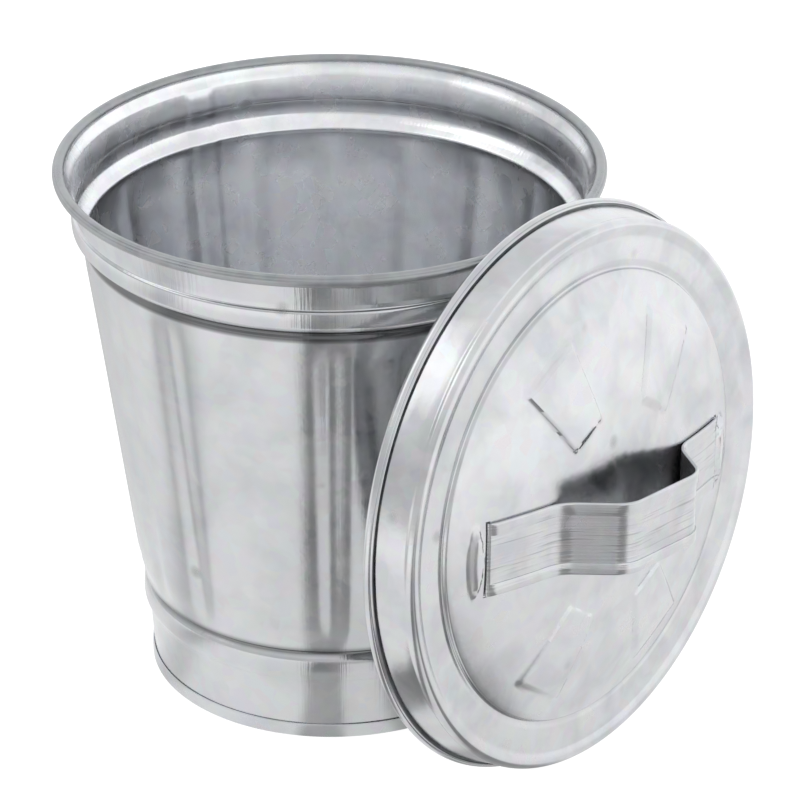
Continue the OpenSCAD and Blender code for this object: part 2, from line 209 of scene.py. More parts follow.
        # fine ribs drawn along the strip, read from across its width
        strip = add(tree, "ShaderNodeSeparateXYZ", {},
                    {"Vector": add(tree, "ShaderNodeUVMap", {"uv_map": "strip"}).outputs["UV"]}
                    ).outputs
        across = strip["Y"]
        stretched = add(tree, "ShaderNodeMath", {"operation": "MULTIPLY", 1: 0.03},
                        {0: strip["X"]}).outputs["Value"]
        line_place = add(tree, "ShaderNodeCombineXYZ", {},
                         {"Y": across, "X": stretched}).outputs["Vector"]
        lines = add(tree, "ShaderNodeTexNoise", {"Scale": per_mm(1.4), "Detail": 2.0},
                    {"Vector": line_place}).outputs["Fac"]
        height = add(tree, "ShaderNodeMath", {"operation": "MULTIPLY_ADD", 1: ribs},
                     {0: lines, 2: height}).outputs["Value"]
        # darker grey lines are drawn on the ribs, strongest along the middle of the strip
        from_middle = add(tree, "ShaderNodeMath", {"operation": "ABSOLUTE"}, {0: across}
                          ).outputs["Value"]
        central = add(tree, "ShaderNodeMapRange",
                      {"interpolation_type": "SMOOTHSTEP", "From Min": 0.008, "From Max": 0.013,
                       "To Min": 0.6, "To Max": 0.1}, {"Value": from_middle}).outputs["Result"]
        rib_darkening = add(tree, "ShaderNodeMapRange", {"From Min": 0.56, "From Max": 0.68},
                   {"Value": lines, "To Max": central}).outputs["Result"]
        surface_colour = add(tree, "ShaderNodeMix", {"data_type": "RGBA", 7: linear("#97989A")},
                      {0: rib_darkening, 6: surface_colour}).outputs[2]
    bump = add(tree, "ShaderNodeBump", {"Strength": 0.15, "Distance": 0.001}, {"Height": height})
    shader = add(tree, "ShaderNodeBsdfPrincipled", {"Metallic": 1.0},
                 {"Base Color": surface_colour, "Roughness": rough_spot, "Normal": bump.outputs["Normal"]})
    add(tree, "ShaderNodeOutputMaterial", {}, {"Surface": shader.outputs["BSDF"]})
    return material


# Hot-dip galvanised sheet, rolled to the can's wall: a bright soft mirror with slow clouds,
# and upright roll lines that break its highlights up on the collar and the beads. Its two darker
# bands are painted shade in the grooves between the beads and the flutes.
wall_zinc = galvanised("galvanised_wall_sheet", "#CECFD1", "#C3C5C7", 0.16, chatter=0.8, stain=0.5,
                       groove_shade=((0, "#FFFFFF"), (54.4, "#FFFFFF"), (55.8, "#A4A4A4"),
                              (59.2, "#A4A4A4"), (61.6, "#FFFFFF"), (266.4, "#FFFFFF"),
                              (268.2, "#8C8C8C"), (273.6, "#8C8C8C"), (275.2, "#FFFFFF"),
                              (320.0, "#FFFFFF")))
# The same sheet inside the can, given a paler tone than the outside: painted light, as too little
# light reaches in. Softer too, so the wall across it shows only as broad patches.
inside_zinc_lightened = galvanised("galvanised_wall_inside", "#F0F1F3", "#E0E1E4", 0.22, chatter=1.0,
                         cloud_mm=24, stain=0.5)
# The rolled rim: a darker mid-grey than the wall sheet it is rolled from, with a wide soft
# highlight.
rim_zinc = galvanised("galvanised_rolled_rim", "#A6A8AA", "#96989B", 0.32, cloud_mm=14, stain=0.6)
# The lid's sheet, stretched over a dome by the press: its zinc is cloudier and a little softer.
lid_zinc = galvanised("galvanised_lid_sheet", "#D3D4D6", "#C4C5C8", 0.19, cloud_mm=30, stain=0.4)
# Folded hoop round the foot, brushed by the ground: a satin band with a clear soft highlight.
hoop_zinc = galvanised("galvanised_hoop", "#CFD1D3", "#C2C4C7", 0.24, cloud_mm=32, stain=0.3)
# Floor plate, seen deep inside the can: satin, so it takes up the light of the walls round it.
pan_zinc = galvanised("galvanised_floor_plate", "#D6D8DA", "#C6C8CB", 0.32)
# Strip for the handle, drawn through rolls: fine ribs along it stretch the highlights.
strap_zinc = galvanised("galvanised_ribbed_strip", "#D0D1D3", "#C4C5C7", 0.2, cloud_mm=24,
                        ribs=1.6, stain=0.25)
# Drawn steel wire inside the rolled edges: bare, dark and dull.
wire_steel = galvanised("drawn_steel_wire", "#8E9193", "#75787A", 0.4, cloud_mm=8, stain=0.0)

# ---------------------------------------------------------------- sizes, in millimetres

CAN_HEIGHT = 313.4
RIM_R = 155.0
SLOPE_BASE_R = 103.8
SHEET = 0.8
RIM_CURL_R = 3.35
RIM_FLARE = 1.8
COLLAR_DEPTH = 24.0
UPPER_BEAD_DEPTH = 14.0
UPPER_BEAD_RISE = 3.0
UPPER_GROOVE_DEPTH = 7.5
FLUTE_BOTTOM = 62.8
LOWER_BEAD_TOP = 55.0
LOWER_BEAD_DEPTH = 16.0
LOWER_BEAD_RISE = 1.8
FLUTE_COUNT = 18
FLUTE_ANGLE = 15.6
FLUTE_RISE = 2.0
FOOT_R = 106.7
FOOT_HEIGHT = 9.0
FOOT_SHEET = 1.0
SLACK = 0.15
FLOOR_HEIGHT = 12.0
FLOOR_DISH = 1.5

LID_FIT = 0.5
SKIRT_DEPTH = 25.6
SKIRT_SPREAD = 2.2
HEM_CURL_R = 3.3
HEM_STAND = 3.7
EDGE_BEAD_WIDTH = 9.0
DOME_HEIGHT = 20.0
DOME_R = 128.0
DOME_STEP = 1.2
PANEL_RISE = 1.7
PANEL_INNER_WIDTH = 28.0
PANEL_OUTER_WIDTH = 45.0
PANEL_INNER_REACH = 59.0
PANEL_OUTER_REACH = 110.0
PANEL_ANGLE = 60.0
SLOT_R = 104.5
GRIP_LENGTH = 62.0
LEG_SPREAD = 110.0
FINGER_GAP = 27.0
STRAP_WIDTH = 42.0
STRAP_SHEET = 1.2
STRAP_HEM_WIDTH = 7.0
TAB_LENGTH = 14.0
CORNER_BEND = 18.0
HEEL_BEND = 24.0
BUMP_RISE = 2.6
BUMP_WIDTH = 9.0
# soft foot of a pressed bump, outside its plan
BUMP_MARGIN = 1.5
# width of the slope round a pressed panel and round a bump
PANEL_EDGE = 2.2
BUMP_EDGE = 2.8
LEAN_ANGLE = 3.5
HANDLE_TURN = -5.5
SEAT_SHIFT = 3.0
SEAT_DROP = 3.5

RIM_Z = CAN_HEIGHT - RIM_CURL_R
RIM_RING_R = RIM_R - RIM_CURL_R
NECK_R = RIM_R - 2 * RIM_CURL_R + SHEET
SLOPE_TOP_R = NECK_R - SHEET - RIM_FLARE
CREASE_Z = CAN_HEIGHT - COLLAR_DEPTH
UPPER_BEAD_END_Z = CREASE_Z - UPPER_BEAD_DEPTH
UPPER_BEAD_MID_Z = CREASE_Z - UPPER_BEAD_DEPTH * 0.45
FLUTE_TOP = UPPER_BEAD_END_Z - UPPER_GROOVE_DEPTH


def slope_r(z):
    return SLOPE_BASE_R + (SLOPE_TOP_R - SLOPE_BASE_R) * z / CAN_HEIGHT


FOOT_WALL_R = FOOT_R - FOOT_SHEET - SLACK
PAN_OUT_R = FOOT_WALL_R - SHEET - SLACK
PAN_IN_R = PAN_OUT_R - SHEET
WALL_START_Z = FOOT_SHEET + SLACK
BAND_TOP_Z = LOWER_BEAD_TOP - LOWER_BEAD_DEPTH
BAND_TOP_R = max(FOOT_WALL_R, slope_r(BAND_TOP_Z) - 1.2)
LOWER_BEAD_R = BAND_TOP_R + LOWER_BEAD_RISE
FLUTE_FLOOR_BOTTOM = slope_r(FLUTE_BOTTOM) - FLUTE_RISE
FLUTE_FLOOR_TOP = slope_r(FLUTE_TOP) - FLUTE_RISE
LOWER_GROOVE_R = min(LOWER_BEAD_R, FLUTE_FLOOR_BOTTOM) - 1.2

SKIRT_TOP_R = RIM_R + LID_FIT + SHEET
SKIRT_LOW_R = SKIRT_TOP_R + SKIRT_SPREAD
HEM_RING_R = SKIRT_LOW_R + HEM_STAND - HEM_CURL_R
DOME_BASE_Z = SKIRT_DEPTH + DOME_STEP
DOME_TOP_Z = DOME_BASE_Z + DOME_HEIGHT

# ---------------------------------------------------------------- mesh helpers


def blurred(points, sigma, spacing=0.2):
    """A line of points with its corners rounded off, its ends kept."""
    p = np.array(points, float)
    along = np.r_[0, np.cumsum(np.hypot(*np.diff(p, axis=0).T))]
    s = np.linspace(0, along[-1], int(along[-1] / spacing) + 2)
    line = np.c_[np.interp(s, along, p[:, 0]), np.interp(s, along, p[:, 1])]
    reach = int(4 * sigma / spacing)
    kernel = np.exp(-0.5 * (np.arange(-reach, reach + 1) * spacing / sigma) ** 2)
    kernel /= kernel.sum()
    head = 2 * line[0] - line[reach:0:-1]
    tail = 2 * line[-1] - line[-2:-reach - 2:-1]
    padded = np.r_[head, line, tail]
    out = np.c_[np.convolve(padded[:, 0], kernel, "valid"),
                np.convolve(padded[:, 1], kernel, "valid")]
    out[0], out[-1] = line[0], line[-1]
    return out


def thinned(line, longest, bend_deg):
    """Keeps points so that no step is over longest or turns more than about bend_deg."""
    d = np.diff(line, axis=0)
    length = np.hypot(d[:, 0], d[:, 1])
    heading = np.unwrap(np.arctan2(d[:, 1], d[:, 0]))
    turn = np.r_[0, np.abs(np.diff(heading))]
    cost = np.r_[0, np.cumsum(length / longest + turn / radians(bend_deg))]
    count = max(2, int(np.ceil(cost[-1])))
    marks = np.linspace(0, cost[-1], count + 1)
    return np.c_[np.interp(marks, cost, line[:, 0]), np.interp(marks, cost, line[:, 1])]


def arc(centre, radius, start_deg, end_deg, count):
    a = np.radians(np.linspace(start_deg, end_deg, count))
    return np.c_[centre[0] + radius * np.cos(a), centre[1] + radius * np.sin(a)]


CREASE_DEPTH = 0.6
CREASE_WIDTH_DEG = 6.5


def creased_arc(centre, radius, start_deg, end_deg, count, crease_deg):
    """A rolled edge's round section with the fine crease where its sheet was closed."""
    a = np.linspace(start_deg, end_deg, count)
    r = radius - CREASE_DEPTH * np.exp(-((a - crease_deg) / CREASE_WIDTH_DEG) ** 2)
    a = np.radians(a)
    return np.c_[centre[0] + r * np.cos(a), centre[1] + r * np.sin(a)]


def mesh_object(name, verts, faces, *materials):
    """A shaded-smooth mesh object with its normals outward, sizes given in millimetres."""
    mesh = bpy.data.meshes.new(name)
    mesh.from_pydata([tuple(v) for v in np.asarray(verts) * MM], [], faces)
    work = bmesh.new()
    work.from_mesh(mesh)
    bmesh.ops.remove_doubles(work, verts=work.verts, dist=1e-6)
    bmesh.ops.recalc_face_normals(work, faces=work.faces)
    work.to_mesh(mesh)
    work.free()
    mesh.polygons.foreach_set("use_smooth", [True] * len(mesh.polygons))
    for material in materials:
        mesh.materials.append(material)
    obj = bpy.data.objects.new(name, mesh)
    scene.collection.objects.link(obj)
    return obj


def lathe(radius, height, steps, closed):
    """Vertices and faces of a turned shape. radius and height are rows by steps arrays;
    closed joins the last row to the first, otherwise each end row closes on a pole."""
    rows = radius.shape[0]
    theta = np.linspace(0, 2 * pi, steps, endpoint=False)
    verts = np.stack([radius * np.cos(theta), radius * np.sin(theta), height], -1)
    verts = list(verts.reshape(-1, 3))
    faces = []
    for i in range(rows if closed else rows - 1):
        a, b = i * steps, (i + 1) % rows * steps
        for j in range(steps):
            k = (j + 1) % steps
            faces.append((a + j, a + k, b + k, b + j))
    if not closed:
        for row in (0, rows - 1):
            pole = len(verts)
            verts.append(np.array([0, 0, height[row].mean()]))
            base = row * steps
            for j in range(steps):
                faces.append((base + j, base + (j + 1) % steps, pole))
    return np.array(verts), faces


def smooth_step(x):
    t = np.clip(x, 0, 1)
    return t * t * (3 - 2 * t)


def ripples(theta, z, seed, size):
    """Slow uneven waves of pressed sheet, about size millimetres high."""
    rng = np.random.default_rng(seed)
    total = np.zeros(np.broadcast(theta, z).shape)
    for turns in (2, 3, 5, 8, 13, 21):
        total += np.sin(theta * turns + z * rng.uniform(-0.03, 0.03) + rng.uniform(0, 6.28)) \
            * rng.uniform(0.4, 1) / turns ** 0.6
    return total * size / 2


def evaluated(obj):
    """The mesh an object has after its modifiers."""
    return bpy.data.meshes.new_from_object(obj.evaluated_get(bpy.context.evaluated_depsgraph_get()))


def mark_sharp(mesh, angle_deg):
    """Keeps real edges crisp under smooth shading."""
    work = bmesh.new()
    work.from_mesh(mesh)
    for edge in work.edges:
        if len(edge.link_faces) == 2 and edge.calc_face_angle() > radians(angle_deg):
            edge.smooth = False
    work.to_mesh(mesh)
    work.free()


# ---------------------------------------------------------------- the can's wall

# as many as keep the piece under 200,000 triangles
WALL_STEPS = 400
# share of the flutes' rise that is left after the sheet springs back
FLUTE_SOFTEN = 0.85
# how far a flute's top falls off from its middle to its sides, as a share of its rise
FLUTE_CROWN = 0.15
FLUTE_EDGE_DEG = 6.0
FLUTE_END = 12.0
# the upright lap seam: where it is, how wide, and its step on the inside and the outside
SEAM_DEG = 162.0
SEAM_WIDTH_DEG = 5.6
SEAM_STEP = 0.7
SEAM_OUTER_STEP = 0.35

wall_outside = [
    (FOOT_WALL_R, WALL_START_Z),
    (FOOT_WALL_R, FOOT_HEIGHT),
    (BAND_TOP_R - 0.4, BAND_TOP_Z - 1.5),
    (LOWER_BEAD_R - 0.7, BAND_TOP_Z + 1.0),
    (LOWER_BEAD_R + 0.7, BAND_TOP_Z + LOWER_BEAD_DEPTH * 0.25),
    (LOWER_BEAD_R + 1.0, BAND_TOP_Z + LOWER_BEAD_DEPTH * 0.4),
    (LOWER_BEAD_R + 0.6, BAND_TOP_Z + LOWER_BEAD_DEPTH * 0.7),
    (LOWER_BEAD_R + 0.1, LOWER_BEAD_TOP - 2.2),
    (LOWER_BEAD_R - 0.7, LOWER_BEAD_TOP - 0.8),
    (LOWER_GROOVE_R - 1.1, LOWER_BEAD_TOP + 0.8),
    (LOWER_GROOVE_R - 1.1, LOWER_BEAD_TOP + 2.4),
    (FLUTE_FLOOR_BOTTOM, LOWER_BEAD_TOP + 4),
    (FLUTE_FLOOR_BOTTOM, FLUTE_BOTTOM),
    (FLUTE_FLOOR_TOP, FLUTE_TOP),
    (slope_r(FLUTE_TOP + 2) - FLUTE_RISE, FLUTE_TOP + 1.5),
    (slope_r(FLUTE_TOP + 2) - FLUTE_RISE - 0.9, FLUTE_TOP + 3.6),
    (slope_r(FLUTE_TOP + 2) - FLUTE_RISE - 0.5, FLUTE_TOP + 5.0),
    (slope_r(UPPER_BEAD_END_Z) + UPPER_BEAD_RISE * 0.3, UPPER_BEAD_END_Z),
    (slope_r(UPPER_BEAD_MID_Z) + UPPER_BEAD_RISE * 0.9, UPPER_BEAD_END_Z + UPPER_BEAD_DEPTH * 0.25),
    (slope_r(UPPER_BEAD_MID_Z) + UPPER_BEAD_RISE, UPPER_BEAD_MID_Z),
    (slope_r(CREASE_Z) + UPPER_BEAD_RISE * 0.6, CREASE_Z - 1.4),
    (slope_r(CREASE_Z), CREASE_Z - 0.4),
    (slope_r(CREASE_Z) + 0.45, CREASE_Z + 0.9),
    (slope_r(CREASE_Z) + 0.05, CREASE_Z + 2.0),
    (slope_r(CREASE_Z) + 0.3, CREASE_Z + 3.2),
    (slope_r(RIM_Z - 2 * RIM_CURL_R), RIM_Z - 2 * RIM_CURL_R),
    (NECK_R, RIM_Z - RIM_CURL_R * 0.4),
    (NECK_R, RIM_Z),
]


def fluting_tree():
    """Geometry nodes that press upright flutes into a turned wall and give it its finishes.

    The wall's points carry "wall", 1 where the sheet is fluted and 0 round the rolled rim, and
    its faces carry "inside" and "rolled"."""
    tree = bpy.data.node_groups.new("fluted_wall", "GeometryNodeTree")
    sockets = tree.interface
    sockets.new_socket("Geometry", in_out="INPUT", socket_type="NodeSocketGeometry")
    for name in ("Flute count", "Flute angle", "Edge angle", "Flute rise", "Flute crown",
                 "Flute bottom", "Flute top", "End length"):
        sockets.new_socket(name, in_out="INPUT", socket_type="NodeSocketFloat")
    for name in ("Outside finish", "Inside finish", "Rim finish"):
        sockets.new_socket(name, in_out="INPUT", socket_type="NodeSocketMaterial")
    sockets.new_socket("Geometry", in_out="OUTPUT", socket_type="NodeSocketGeometry")

    given = tree.nodes.new("NodeGroupInput").outputs
    place = add(tree, "GeometryNodeInputPosition").outputs["Position"]
    axes = add(tree, "ShaderNodeSeparateXYZ", {}, {"Vector": place}).outputs
    turn = add(tree, "ShaderNodeMath", {"operation": "ARCTAN2"}, {0: axes["Y"], 1: axes["X"]})
    turn_deg = add(tree, "ShaderNodeMath", {"operation": "DEGREES"}, {0: turn.outputs["Value"]})
    half_pitch = add(tree, "ShaderNodeMath", {"operation": "DIVIDE", 0: 180.0},
                     {1: given["Flute count"]})
    # angle from the middle of the nearest flute
    off = add(tree, "ShaderNodeMath", {"operation": "PINGPONG"},
              {0: turn_deg.outputs["Value"], 1: half_pitch.outputs["Value"]}).outputs["Value"]
    half_angle = add(tree, "ShaderNodeMath", {"operation": "MULTIPLY", 1: 0.5},
                     {0: given["Flute angle"]}).outputs["Value"]
    half_edge = add(tree, "ShaderNodeMath", {"operation": "MULTIPLY", 1: 0.5},
                    {0: given["Edge angle"]}).outputs["Value"]
    foot_of_edge = add(tree, "ShaderNodeMath", {"operation": "ADD"}, {0: half_angle, 1: half_edge})
    top_of_edge = add(tree, "ShaderNodeMath", {"operation": "SUBTRACT"},
                      {0: half_angle, 1: half_edge})
    across = add(tree, "ShaderNodeMapRange", {"interpolation_type": "SMOOTHSTEP"},
                 {"Value": off, "From Min": foot_of_edge.outputs["Value"],
                  "From Max": top_of_edge.outputs["Value"]}).outputs["Result"]
    share = add(tree, "ShaderNodeMath", {"operation": "DIVIDE"}, {0: off, 1: half_angle})
    share_squared = add(tree, "ShaderNodeMath", {"operation": "POWER", 1: 2.0},
                        {0: share.outputs["Value"]})
    drop = add(tree, "ShaderNodeMath", {"operation": "MULTIPLY"},
               {0: share_squared.outputs["Value"], 1: given["Flute crown"]})
    crown = add(tree, "ShaderNodeMath", {"operation": "SUBTRACT", 0: 1.0},
                {1: drop.outputs["Value"]}).outputs["Value"]
    low_end = add(tree, "ShaderNodeMath", {"operation": "ADD"},
                  {0: given["Flute bottom"], 1: given["End length"]}).outputs["Value"]
    high_end = add(tree, "ShaderNodeMath", {"operation": "SUBTRACT"},
                   {0: given["Flute top"], 1: given["End length"]}).outputs["Value"]
    from_low = add(tree, "ShaderNodeMapRange", {"interpolation_type": "SMOOTHSTEP"},
                   {"Value": axes["Z"], "From Min": given["Flute bottom"], "From Max": low_end}
                   ).outputs["Result"]
    from_high = add(tree, "ShaderNodeMapRange", {"interpolation_type": "SMOOTHSTEP"},
                    {"Value": axes["Z"], "From Min": given["Flute top"], "From Max": high_end}
                    ).outputs["Result"]
    amount = add(tree, "GeometryNodeInputNamedAttribute", {"data_type": "FLOAT", "Name": "wall"}
                 ).outputs["Attribute"]
    for factor in (given["Flute rise"], across, crown, from_low, from_high):
        amount = add(tree, "ShaderNodeMath", {"operation": "MULTIPLY"}, {0: amount, 1: factor}
                     ).outputs["Value"]
    outward = add(tree, "ShaderNodeVectorMath", {"operation": "NORMALIZE"},
                  {0: add(tree, "ShaderNodeCombineXYZ", {}, {"X": axes["X"], "Y": axes["Y"]}
                          ).outputs["Vector"]}).outputs["Vector"]
    offset = add(tree, "ShaderNodeVectorMath", {"operation": "SCALE"},
                 {0: outward, "Scale": amount}).outputs["Vector"]
    shape = add(tree, "GeometryNodeSetPosition", {},
                {"Geometry": given["Geometry"], "Offset": offset}).outputs["Geometry"]
    shape = add(tree, "GeometryNodeRealizeInstances", {}, {"Geometry": shape}).outputs["Geometry"]
    shape = add(tree, "GeometryNodeSetMaterial", {},
                {"Geometry": shape, "Material": given["Outside finish"]}).outputs["Geometry"]
    for layer, finish in (("inside", "Inside finish"), ("rolled", "Rim finish")):
        chosen = add(tree, "GeometryNodeInputNamedAttribute",
                     {"data_type": "BOOLEAN", "Name": layer}).outputs["Attribute"]
        shape = add(tree, "GeometryNodeSetMaterial", {},
                    {"Geometry": shape, "Selection": chosen, "Material": given[finish]}
                    ).outputs["Geometry"]
    add(tree, "NodeGroupOutput", {}, {"Geometry": shape})
    return tree


def can_wall():
    line = blurred(wall_outside, 0.7)
    outer = thinned(line, 6.5, 9.5)
    inner = thinned(line, 10.0, 14.0)[::-1]
    centre = (RIM_RING_R, RIM_Z)
    hidden = arc(centre, RIM_CURL_R - SHEET, 165, -95, 8)
    roll = creased_arc(centre, RIM_CURL_R, -98, 172, 42, 44)
    profile = np.r_[outer, hidden, roll, inner - [SHEET, 0]]
    side = np.r_[np.ones(len(outer)), np.zeros(len(hidden) + len(roll)), -np.ones(len(inner))]
    theta = np.linspace(0, 2 * pi, WALL_STEPS, endpoint=False)
    r = np.repeat(profile[:, :1], WALL_STEPS, 1)
    z = np.repeat(profile[:, 1:], WALL_STEPS, 1)
    on_wall = np.abs(side)[:, None]

    # the two ends of the sheet lap over each other in an upright seam
    seam = np.degrees(theta) - SEAM_DEG
    lap = (np.abs(seam) < SEAM_WIDTH_DEG / 2).astype(float)
    below_rim = smooth_step((RIM_Z - 5 - z) / 3)
    r = r - (side < 0)[:, None] * SEAM_STEP * lap * below_rim
    r = r + (side > 0)[:, None] * SEAM_OUTER_STEP * lap * below_rim * smooth_step((z - 12) / 4)

    middle = smooth_step((z - 20) / 40) * smooth_step((CREASE_Z - z) / 30)
    r = r + on_wall * ripples(theta[None, :], z, 4, 0.5) * middle
    verts, faces = lathe(r, z, WALL_STEPS, True)
    wall = mesh_object("can_wall", verts, faces)
    after = np.roll(side, -1)
    marks = {"wall": ("FLOAT", "POINT", np.repeat(np.abs(side), WALL_STEPS)),
             "inside": ("BOOLEAN", "FACE", np.repeat((side < 0) & (after < 0), WALL_STEPS)),
             "rolled": ("BOOLEAN", "FACE", np.repeat((side == 0) & (after == 0), WALL_STEPS))}
    for name, (kind, domain, values) in marks.items():
        wall.data.attributes.new(name, kind, domain).data.foreach_set("value", values)

    tree = fluting_tree()
    flutes = wall.modifiers.new("flutes", "NODES")
    flutes.node_group = tree
    wanted = {"Flute count": float(FLUTE_COUNT), "Flute angle": FLUTE_ANGLE,
              "Edge angle": FLUTE_EDGE_DEG, "Flute rise": FLUTE_RISE * FLUTE_SOFTEN * MM,
              "Flute crown": FLUTE_CROWN,
              "Flute bottom": (FLUTE_BOTTOM - 1) * MM, "Flute top": (FLUTE_TOP + 1) * MM,
              "End length": FLUTE_END * MM, "Outside finish": wall_zinc,
              "Inside finish": inside_zinc_lightened, "Rim finish": rim_zinc}
    for socket in tree.interface.items_tree:
        if socket.in_out == "INPUT" and socket.name in wanted:
            flutes[socket.identifier] = wanted[socket.name]
    shape = evaluated(wall)
    wall.modifiers.remove(flutes)
    wall.data = shape
    for name in marks:
        shape.attributes.remove(shape.attributes[name])
    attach(wall, "can")
    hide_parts("body_shell")


def turned_piece(name, outline, blur, longest, bend, steps, material, body, node, closed):
    line = thinned(blurred(outline, blur), longest, bend)
    if closed:
        line = line[:-1]
    r = np.repeat(line[:, :1], steps, 1)
    z = np.repeat(line[:, 1:], steps, 1)
    verts, faces = lathe(r, z, steps, closed)
    piece = mesh_object(name, verts, faces, material)
    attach(piece, body)
    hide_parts(node)


def foot_and_floor():
    fold_out = PAN_IN_R - SLACK
    fold_in = fold_out - FOOT_SHEET
    hoop_in = FOOT_R - FOOT_SHEET
    hoop = [
        (hoop_in, FOOT_SHEET + 1), (hoop_in, FOOT_HEIGHT - 0.2),
        (FOOT_R - 0.35, FOOT_HEIGHT - 0.05),
        (FOOT_R - 0.05, FOOT_HEIGHT - 1.2), (FOOT_R, FOOT_HEIGHT * 0.5), (FOOT_R - 0.1, 1.2),
        (FOOT_R - 1.3, 0), (fold_in + 1.2, 0), (fold_in, 1.2), (fold_in, FOOT_HEIGHT * 0.75),
        (fold_out, FOOT_HEIGHT * 0.75), (fold_out, FOOT_SHEET), (hoop_in, FOOT_SHEET),
        (hoop_in, FOOT_SHEET + 1),
    ]
    turned_piece("foot_hoop", hoop, 0.25, 3, 14, 360, hoop_zinc, "can", "base_ring",
                 True)
    dish = PAN_IN_R * 0.8
    top = FLOOR_HEIGHT + SHEET
    plate = [
        (0.5, top - FLOOR_DISH), (dish, top - FLOOR_DISH), (dish + 3, top), (PAN_IN_R - 2, top),
        (PAN_OUT_R, FLOOR_HEIGHT), (PAN_OUT_R, WALL_START_Z), (PAN_IN_R, WALL_START_Z),
        (PAN_IN_R, FLOOR_HEIGHT - SHEET), (PAN_IN_R - 2, FLOOR_HEIGHT), (dish + 3, FLOOR_HEIGHT),
        (dish, FLOOR_HEIGHT - FLOOR_DISH), (0.5, FLOOR_HEIGHT - FLOOR_DISH),
    ]
    turned_piece("floor_plate", plate, 0.3, 7, 14, 240, pan_zinc, "can", "bottom_pan",
                 False)


# ---------------------------------------------------------------- the lid

wire_low, wire_high = (Vector(c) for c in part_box("lid_wire"))
lid_middle = (wire_low + wire_high) / 2
lid_place = (Matrix.Translation(lid_middle)
             @ Matrix.Rotation(radians(90 - LEAN_ANGLE), 4, "Y")
             @ Matrix.Rotation(radians(90), 4, "Z"))
# the handle, its slots and the panels were pressed together, a little off the lid's middle
seat_place = (Matrix.Rotation(radians(HANDLE_TURN), 4, "Z")
              @ Matrix.Translation((SEAT_SHIFT * MM, -SEAT_DROP * MM, 0)))
handle_place = lid_place @ seat_place


def dome_z(r):
    return DOME_BASE_Z + DOME_HEIGHT * (1 - (r / DOME_R) ** 2)


def wedge_depth(x, y):
    """How far inside a panel's outline a point is, in millimetres; x runs outwards."""
    share = (x - PANEL_INNER_REACH) / (PANEL_OUTER_REACH - PANEL_INNER_REACH)
    half = (PANEL_INNER_WIDTH + (PANEL_OUTER_WIDTH - PANEL_INNER_WIDTH) * share) / 2
    return np.minimum(np.minimum(x - PANEL_INNER_REACH, PANEL_OUTER_REACH - x), half - np.abs(y))


def pressed_rise(x, y):
    """Height of the four panels and the two half-moon bumps over the dome."""
    rise = np.zeros_like(x)
    for side in (0, 180):
        for tilt in (-1, 1):
            a = radians(side + tilt * PANEL_ANGLE)
            u = x * cos(a) + y * sin(a)
            v = -x * sin(a) + y * cos(a)
            rise = np.maximum(rise, PANEL_RISE * smooth_step(wedge_depth(u, v) / PANEL_EDGE))
    half = (STRAP_WIDTH + 2) / 2 + BUMP_MARGIN
    width = BUMP_WIDTH + BUMP_MARGIN
    round_r = (half ** 2 + width ** 2 / 4) / width
    middle = SLOT_R + (STRAP_SHEET + 1.8) / 2 + width / 2 + 0.8
    for side in (-1, 1):
        u = side * x - middle
        left = round_r - np.hypot(u - (round_r - width / 2), y)
        right = round_r - np.hypot(u + (round_r - width / 2), y)
        rise = np.maximum(rise, BUMP_RISE * smooth_step(np.minimum(left, right) / BUMP_EDGE))
    return rise


# as many as keep the piece under 200,000 triangles
LID_STEPS = 400


